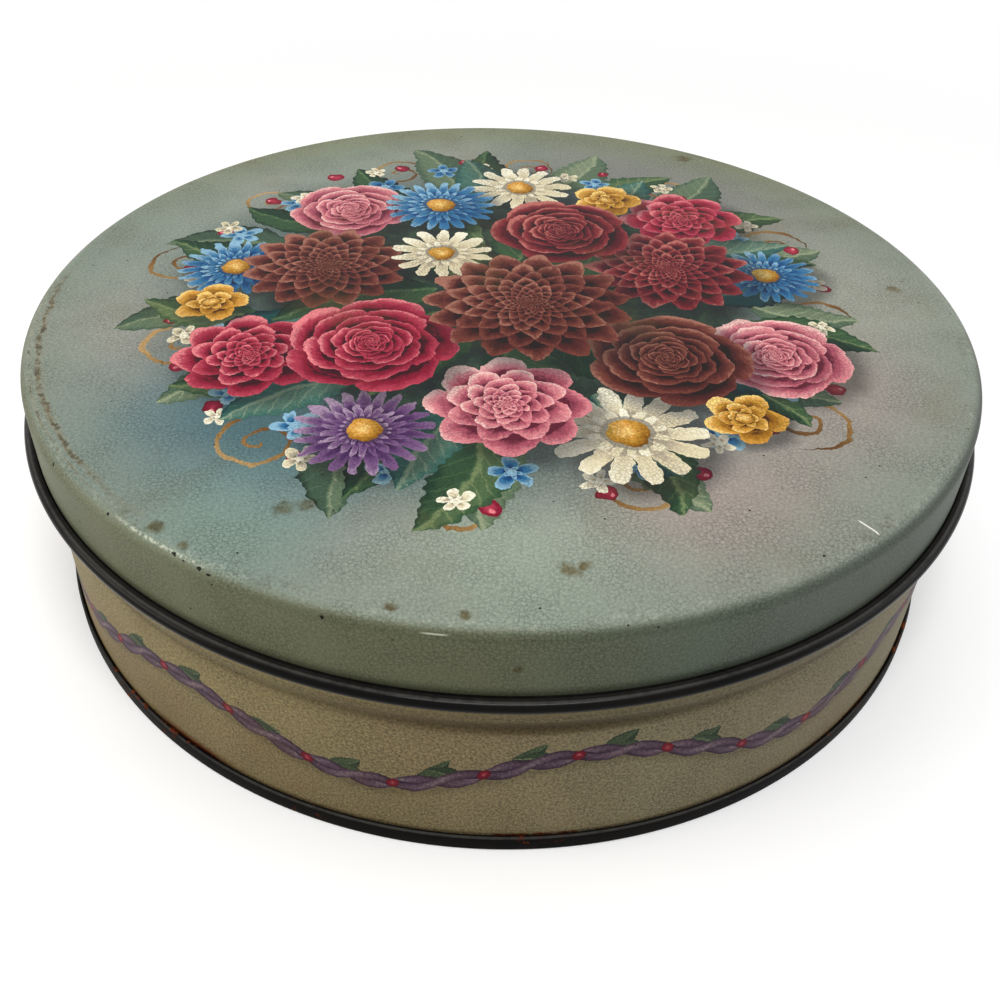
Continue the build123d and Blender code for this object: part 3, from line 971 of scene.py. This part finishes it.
def shape_tree():
    """Turns a sheet-metal section about the axis, with the side seam's lap and groove at the back."""
    tree = bpy.data.node_groups.new("turned_sheet", "GeometryNodeTree")
    sockets = {"Section": "NodeSocketGeometry", "Columns": "NodeSocketObject", "Column count": "NodeSocketInt",
               "Point count": "NodeSocketInt", "Seam radius": "NodeSocketFloat", "Lap": "NodeSocketFloat",
               "Lap half width": "NodeSocketFloat", "Groove": "NodeSocketFloat",
               "Groove half width": "NodeSocketFloat", "Sag": "NodeSocketFloat",
               "Outside": "NodeSocketMaterial", "Edge": "NodeSocketMaterial", "Inside": "NodeSocketMaterial"}
    for label, kind in sockets.items():
        tree.interface.new_socket(label, in_out="INPUT", socket_type=kind)
    tree.interface.new_socket("Shell", in_out="OUTPUT", socket_type="NodeSocketGeometry")
    given = {s.name: Wire(s) for s in tree.nodes.new("NodeGroupInput").outputs if s.name}

    def node(kind, inputs=None, **settings):
        return place_node(tree, kind, inputs, **settings)

    def sample(geometry, value, index, kind="FLOAT"):
        return out(node("GeometryNodeSampleIndex", {"Geometry": geometry, "Value": value, "Index": index},
                        data_type=kind, domain="POINT"))

    def named(name, kind="FLOAT"):
        return out(node("GeometryNodeInputNamedAttribute", {"Name": name}, data_type=kind), "Attribute")

    grid = node("GeometryNodeMeshGrid", {"Size X": 1.0, "Size Y": 1.0, "Vertices X": given["Column count"],
                                         "Vertices Y": given["Point count"]})
    index = out(node("GeometryNodeInputIndex"))
    point = calc("FLOORED_MODULO", index, given["Point count"])
    column = floor(index / given["Point count"] + 1e-4)
    place = out(node("GeometryNodeInputPosition"))
    columns = out(node("GeometryNodeObjectInfo", {"Object": given["Columns"]}), "Geometry")
    turn, _, _ = parts(sample(columns, place, column, "FLOAT_VECTOR"))
    radius, _, level = parts(sample(given["Section"], place, point, "FLOAT_VECTOR"))
    from_back = (pi - size_of(turn)) * given["Seam radius"]
    lap = sample(given["Section"], named("lap"), point)
    groove = sample(given["Section"], named("groove"), point)
    flat = sample(given["Section"], named("flat"), point)
    radius = (radius - lap * given["Lap"] * smaller(from_back, given["Lap half width"])
              - groove * given["Groove"] * smaller(from_back, given["Groove half width"]))
    x = radius * wave(turn)
    y = radius * (0.0 - calc("COSINE", turn))
    swell = noise(vector_of(x, y), 0.05, 2.0)
    level = level - flat * given["Sag"] * swell
    shaped = out(node("GeometryNodeSetPosition", {"Geometry": out(grid, "Mesh"), "Position": vector_of(x, y, level)}))
    face_point = calc("FLOORED_MODULO", index, given["Point count"] - 1.0)
    finish = sample(given["Section"], named("finish"), face_point)
    stored = out(node("GeometryNodeStoreNamedAttribute", {"Geometry": shaped, "Name": "finish", "Value": finish},
                      data_type="FLOAT", domain="FACE"))
    merged = out(node("GeometryNodeMergeByDistance", {"Geometry": stored, "Distance": 2e-6}))
    made = out(node("GeometryNodeRealizeInstances", {"Geometry": merged}))
    for number, label in enumerate(("Outside", "Edge", "Inside")):
        here = calc("COMPARE", named("finish"), float(number), 0.1)
        made = out(node("GeometryNodeSetMaterial", {"Geometry": made, "Selection": here, "Material": given[label]}))
    feed(tree.nodes.new("NodeGroupOutput").inputs[0], made)
    return tree


def column_turns():
    """The angles of the shell's columns, close together beside the side seam at the back."""
    beside = [0, 0.1, GROOVE_HALF_WIDTH - 0.01, GROOVE_HALF_WIDTH + 0.06, 1.2, SIDE_SEAM_HALF_WIDTH - 0.02,
              SIDE_SEAM_HALF_WIDTH + 0.08]
    near = [pi - distance / WALL_RADIUS for distance in beside]
    steps = 354
    middle = [near[-1] * (1 - 2 * i / steps) for i in range(1, steps)]
    return [-turn for turn in near] + [-turn for turn in middle] + near[::-1]


def loose_object(name, points):
    mesh = bpy.data.meshes.new(name)
    mesh.from_pydata(points, [(i, i + 1) for i in range(len(points) - 1)], [])
    thing = bpy.data.objects.new(name, mesh)
    bpy.context.scene.collection.objects.link(thing)
    return thing


SHAPE_TREE = shape_tree()
COLUMNS = loose_object("columns", [(turn, 0, 0) for turn in column_turns()])


def turned_piece(name, face, body, node, finishes, lap=0.0, sag=0.0):
    """Makes one sheet-metal piece from its section and puts it in the place of its node."""
    outline, labels, _ = sheet_section(face)
    outline = outline + outline[:1]
    labels = labels + labels[:1]
    maker = loose_object(name + "_section", [(r / METRE, 0, z / METRE) for r, z in outline])
    count = len(face(0)) and len(outline)
    seam_low, seam_high = SIDE_SEAM
    on_seam = [seam_low < z < seam_high for _, z in outline]
    inner = [label == "inside" for label in labels]
    values = {
        "lap": [float(on and within) for on, within in zip(on_seam, inner)],
        "groove": [float(on and not within) for on, within in zip(on_seam, inner)],
        "flat": [max(0.0, 1 - (r / 94) ** 4) if z > 50 or z < 6 else 0.0 for r, z in outline],
        "finish": [float(FINISHES.index(label)) for label in labels],
    }
    for label, numbers in values.items():
        maker.data.attributes.new(label, "FLOAT", "POINT").data.foreach_set("value", numbers)
    modifier = maker.modifiers.new("turned_sheet", "NODES")
    modifier.node_group = SHAPE_TREE
    sizes = {"Columns": COLUMNS, "Column count": len(COLUMNS.data.vertices), "Point count": count,
             "Seam radius": WALL_RADIUS / METRE, "Lap": lap / METRE, "Lap half width": SIDE_SEAM_HALF_WIDTH / METRE,
             "Groove": GROOVE_DEPTH / METRE if lap else 0.0, "Groove half width": GROOVE_HALF_WIDTH / METRE,
             "Sag": sag / METRE, "Outside": finishes[0], "Edge": finishes[1], "Inside": finishes[2]}
    for item in SHAPE_TREE.interface.items_tree:
        if item.name in sizes:
            modifier[item.identifier] = sizes[item.name]
    evaluated = maker.evaluated_get(bpy.context.evaluated_depsgraph_get())
    mesh = bpy.data.meshes.new_from_object(evaluated)
    bpy.data.objects.remove(maker)
    work = bmesh.new()
    work.from_mesh(mesh)
    bmesh.ops.recalc_face_normals(work, faces=work.faces)
    work.to_mesh(mesh)
    work.free()
    mesh.name = name
    mesh.shade_smooth()
    mesh.set_sharp_from_angle(angle=radians(38))
    piece = bpy.data.objects.new(name, mesh)
    bpy.context.scene.collection.objects.link(piece)
    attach(piece, body)
    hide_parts(node)
    return piece


turned_piece("lid_shell", lid_face, "lid", "lid", (LID_PRINT, CURL_BLACK, TINPLATE), sag=0.1)
turned_piece("wall_shell", wall_face, "tin", "body_wall", (WALL_PRINT, TINPLATE, TINPLATE),
             lap=3 * SHEET)
turned_piece("base_shell", base_face, "tin", "base_panel", (FOOT_BLACK, FOOT_BLACK, TINPLATE))
bpy.data.objects.remove(COLUMNS)


# ---------------------------------------------------------------- floor, light and camera

def seen_ray(tree):
    """1 for rays from the camera, in a mirror or through glass, which see the white background."""
    path = tree.nodes.new("ShaderNodeLightPath")
    return highest(out(path, "Is Camera Ray"), out(path, "Is Glossy Ray"), out(path, "Is Transmission Ray"))


def make_floor():
    mesh = bpy.data.meshes.new("floor")
    half = 4.0
    mesh.from_pydata([(-half, -half, 0), (half, -half, 0), (half, half, 0), (-half, half, 0)], [], [(0, 1, 2, 3)])
    thing = bpy.data.objects.new("floor", mesh)
    bpy.context.scene.collection.objects.link(thing)
    material = bpy.data.materials.new("floor")
    material.use_nodes = True
    tree = material.node_tree
    shader = tree.nodes["Principled BSDF"]
    place = out(tree.nodes.new("ShaderNodeTexCoord"), "Object")
    seen = seen_ray(tree)
    near = ramp(length(place), 0.42, 0.20)
    feed(shader.inputs["Base Color"], mix(seen, ink(168, 166, 162), tint(near, (0.0, (0, 0, 0)), (1.0, (238, 238, 238)))))
    feed(shader.inputs["Emission Color"], (1, 1, 1, 1))
    feed(shader.inputs["Emission Strength"], seen * (1.0 - near * 0.8))
    feed(shader.inputs["Roughness"], 0.9)
    feed(shader.inputs["Specular IOR Level"], 0.0)
    from_below = out(tree.nodes.new("ShaderNodeNewGeometry"), "Backfacing")
    feed(shader.inputs["Alpha"], 1.0 - from_below)
    mesh.materials.append(material)


def make_world():
    world = bpy.data.worlds.new("studio")
    world.use_nodes = True
    tree = world.node_tree
    background = tree.nodes["Background"]
    seen = seen_ray(tree)
    feed(background.inputs["Color"], (1, 1, 1, 1))
    feed(background.inputs["Strength"], ramp(seen, 0.0, 1.0, 0.13, 1.0, "LINEAR"))
    bpy.context.scene.world = world


def make_lamp(name, place, target, width, depth, watts, colour=(1, 1, 1)):
    lamp = bpy.data.lights.new(name, "AREA")
    lamp.shape = "RECTANGLE"
    lamp.size, lamp.size_y, lamp.energy, lamp.color = width, depth, watts, colour
    thing = bpy.data.objects.new(name, lamp)
    bpy.context.scene.collection.objects.link(thing)
    thing.location = place
    thing.rotation_euler = (Vector(target) - Vector(place)).to_track_quat("-Z", "Y").to_euler()


def make_camera():
    """The camera where the photograph was taken, from a fit to the tin's circles."""
    tilt, yaw, roll = 0.655, -0.0219, 0.0221
    focal, centre_x, centre_y, frame_width = 1065.85, 476.89, 448.90, 1000
    ahead = Vector((sin(yaw) * cos(tilt), cos(yaw) * cos(tilt), -sin(tilt)))
    level = Vector((cos(yaw), -sin(yaw), 0))
    above = level.cross(ahead)
    right = cos(roll) * level + sin(roll) * above
    up = -sin(roll) * level + cos(roll) * above
    lens = bpy.data.cameras.new("camera")
    lens.sensor_width = 36
    lens.lens = focal * 36 / frame_width
    lens.shift_x = (frame_width / 2 - centre_x) / frame_width
    lens.shift_y = (centre_y - frame_width / 2) / frame_width
    lens.clip_start = 0.01
    thing = bpy.data.objects.new("camera", lens)
    bpy.context.scene.collection.objects.link(thing)
    thing.matrix_world = Matrix.Translation((0, -0.20623, 0.17122)) @ Matrix((right, up, -ahead)).transposed().to_4x4()
    bpy.context.scene.camera = thing


make_floor()
make_world()
make_lamp("key_light", (0.04, -0.45, 1.05), (0, -0.05, 0.03), 0.6, 0.16, 7.2)
make_lamp("top_light", (-0.05, 0.2, 1.0), (0, 0, 0), 0.8, 0.8, 4.1)
make_lamp("left_light", (-1.1, -0.25, 0.5), (0, 0, 0.03), 0.7, 0.5, 5.0, (1.0, 0.94, 0.84))
make_lamp("right_light", (1.1, -0.1, 0.45), (0, 0, 0.03), 0.6, 0.5, 1.9, (0.93, 0.96, 1.0))
make_camera()
bpy.context.scene.view_settings.view_transform = "Standard"
